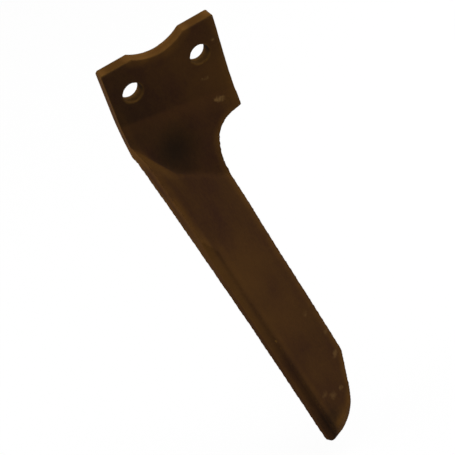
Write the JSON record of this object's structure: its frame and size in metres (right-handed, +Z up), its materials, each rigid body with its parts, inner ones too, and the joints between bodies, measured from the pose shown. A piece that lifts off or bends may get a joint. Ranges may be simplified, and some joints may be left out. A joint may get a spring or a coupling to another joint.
{
  "type": "harrow tine",
  "caption": "Forged power harrow tine: flat head with bolt holes and a hub notch, over a folded, twisted blade with a bevelled leading edge.",
  "frame": {"origin": "midway between the two bolt hole axes, on the flat mounting face at the back of the head", "axes": "+Z up, with the blade hanging towards -Z; -Y out of the front of the tine; +X to the right seen from the front, along the line of the bolt holes"},
  "size_m": [0.0994, 0.1308, 0.3874],
  "materials": {
    "forged_steel": "Dark brown, oiled, hot-forged spring steel with fine scale; paler where the edges catch light."
  },
  "bodies": {
    "root": {"tine": "forged_steel"}
  },
  "joints": []
}
